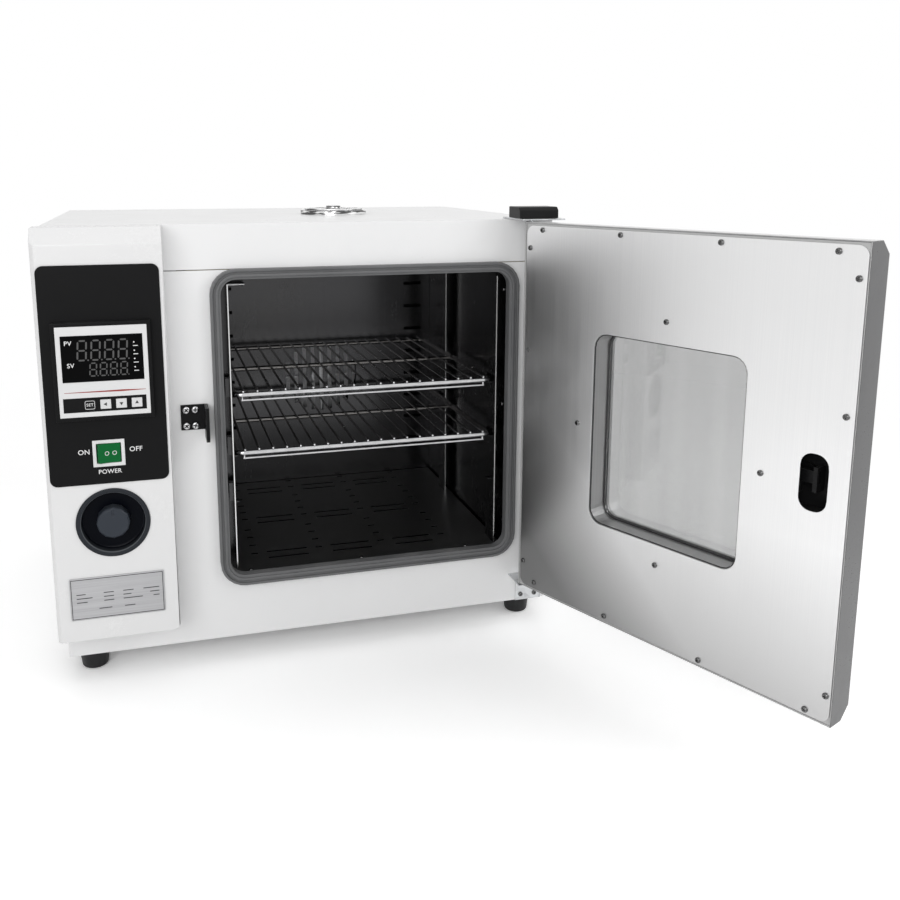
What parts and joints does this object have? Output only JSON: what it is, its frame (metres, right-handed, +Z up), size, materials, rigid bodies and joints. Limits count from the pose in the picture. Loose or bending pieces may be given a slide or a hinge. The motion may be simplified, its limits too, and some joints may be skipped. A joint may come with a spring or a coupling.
{
  "type": "drying oven",
  "caption": "Bench drying oven: sheet-metal case with a side control column, insulated chamber with wire shelves, and a glazed door that swings open.",
  "frame": {"origin": "middle of the front left foot's underside, on the bench", "axes": "+Z up; the front faces -Y; +X to the viewer's right"},
  "size_m": [0.7437, 0.8696, 0.5401],
  "materials": {
    "case_paint": "satin white",
    "door_paint": "satin white",
    "column_paint": "satin white moulding",
    "liner_steel": "brushed, dark in the cavity",
    "door_steel": "brushed",
    "frame_steel": "brushed",
    "bright_steel": "bright",
    "shelf_wire": "polished wire",
    "vent_chrome": "polished",
    "galvanised": "zinc coated",
    "motor_steel": "black",
    "heater_sheath": "heat tinted",
    "mineral_wool": "fibrous",
    "gasket_rubber": "matte grey",
    "foot_rubber": "matte black",
    "black_plastic": "fine textured",
    "fascia_plastic": "satin black",
    "face_plastic": "satin white",
    "display_plastic": "smoked",
    "key_plastic": "satin",
    "rocker_plastic": "translucent green",
    "damper_plastic": "fine textured",
    "knob_plastic": "satin",
    "nameplate_metal": "satin",
    "pane_glass": "clear"
  },
  "bodies": {
    "cabinet": {"outer_case": "case_paint", "front_panel": "case_paint", "front_lintel": "case_paint", "back_cover": "case_paint", "bottom_pan": "galvanised", "foot_front_left": "foot_rubber", "foot_front_right": "foot_rubber", "foot_rear_left": "foot_rubber", "foot_rear_right": "foot_rubber", "chamber_liner": "liner_steel", "chamber_insulation": "mineral_wool", "door_gasket": "gasket_rubber", "floor_plate": "liner_steel", "heater_element": "heater_sheath", "duct_panel": "liner_steel", "fan_motor": "motor_steel", "temperature_probe": "bright_steel", "left_front_upright": "bright_steel", "left_rear_upright": "bright_steel", "right_front_upright": "bright_steel", "right_rear_upright": "bright_steel", "vent_pipe": "bright_steel", "vent_collar": "vent_chrome", "power_inlet": "black_plastic", "heater_relay": "black_plastic", "control_cover": "column_paint", "fascia_panel": "fascia_plastic", "nameplate": "nameplate_metal", "controller_case": "black_plastic", "controller_face": "face_plastic", "display_window": "display_plastic", "key_strip": "key_plastic", "switch_frame": "black_plastic", "damper_dish": "damper_plastic", "strike_keeper": "bright_steel", "upper_hinge_plate": "bright_steel", "hinge_cap": "black_plastic", "lower_hinge_bracket": "galvanised"},
    "door": {"door_shell": "door_paint", "door_inner_panel": "door_steel", "window_frame": "frame_steel", "outer_glass": "pane_glass", "inner_glass": "pane_glass", "latch_pocket": "galvanised", "handle_plate": "bright_steel", "door_insulation": "mineral_wool"},
    "handle": {"latch_crank": "bright_steel", "door_handle": "black_plastic"},
    "bolt": {"latch_bolt": "bright_steel"},
    "fan": {"fan_impeller": "bright_steel"},
    "shelf_upper": {"upper_shelf": "shelf_wire"},
    "shelf_lower": {"lower_shelf": "shelf_wire"},
    "vent_shutter": {"vent_cap": "vent_chrome"},
    "set_key": {"key_set": "key_plastic"},
    "shift_key": {"key_shift": "key_plastic"},
    "down_key": {"key_down": "key_plastic"},
    "up_key": {"key_up": "key_plastic"},
    "rocker": {"power_rocker": "rocker_plastic"},
    "damper": {"damper_knob": "knob_plastic", "throttle_disc": "galvanised"}
  },
  "joints": [
    {"name": "door_swing", "type": "hinge", "parent": "cabinet", "child": "door", "pos_m": [0.528, -0.0585, 0.29565], "axis": [0, 0, 1], "range_deg": [-113.1, 57]},
    {"name": "handle_turn", "type": "hinge", "parent": "door", "child": "handle", "pos_m": [0.69059, -0.38488, 0.2995], "axis": [-0.9198, -0.3923, 0], "range_deg": [0, 90]},
    {"name": "bolt_slide", "type": "slide", "parent": "door", "child": "bolt", "axis": [0.3923, -0.9198, 0], "range_m": [0, 0.012]},
    {"name": "upper_shelf_slide", "type": "slide", "parent": "cabinet", "child": "shelf_upper", "axis": [0, -1, 0], "range_m": [0, 0.2]},
    {"name": "lower_shelf_slide", "type": "slide", "parent": "cabinet", "child": "shelf_lower", "axis": [0, -1, 0], "range_m": [0, 0.2]},
    {"name": "fan_spin", "type": "hinge", "parent": "cabinet", "child": "fan", "pos_m": [0.335, 0.327, 0.2685], "axis": [0, 1, 0], "continuous": true},
    {"name": "vent_turn", "type": "hinge", "parent": "cabinet", "child": "vent_shutter", "pos_m": [0.335, 0.19, 0.53], "axis": [0, 0, 1], "range_deg": [0, 30]},
    {"name": "damper_turn", "type": "hinge", "parent": "cabinet", "child": "damper", "pos_m": [0.03425, -0.08, 0.2043], "axis": [0, -1, 0], "range_deg": [0, 90]},
    {"name": "rocker_tilt", "type": "hinge", "parent": "cabinet", "child": "rocker", "pos_m": [0.03425, -0.0794, 0.2837], "axis": [0, 0, -1], "range_deg": [0, 20]},
    {"name": "press_set", "type": "slide", "parent": "cabinet", "child": "set_key", "axis": [0, 1, 0], "range_m": [0, 0.0008], "stiffness_N_per_m": 600},
    {"name": "press_shift", "type": "slide", "parent": "cabinet", "child": "shift_key", "axis": [0, 1, 0], "range_m": [0, 0.0008], "stiffness_N_per_m": 600},
    {"name": "press_down", "type": "slide", "parent": "cabinet", "child": "down_key", "axis": [0, 1, 0], "range_m": [0, 0.0008], "stiffness_N_per_m": 600},
    {"name": "press_up", "type": "slide", "parent": "cabinet", "child": "up_key", "axis": [0, 1, 0], "range_m": [0, 0.0008], "stiffness_N_per_m": 600}
  ],
  "couplings": [
    {"joint": "bolt_slide", "follows": "handle_turn", "m_per_rad": 0.00763}
  ]
}
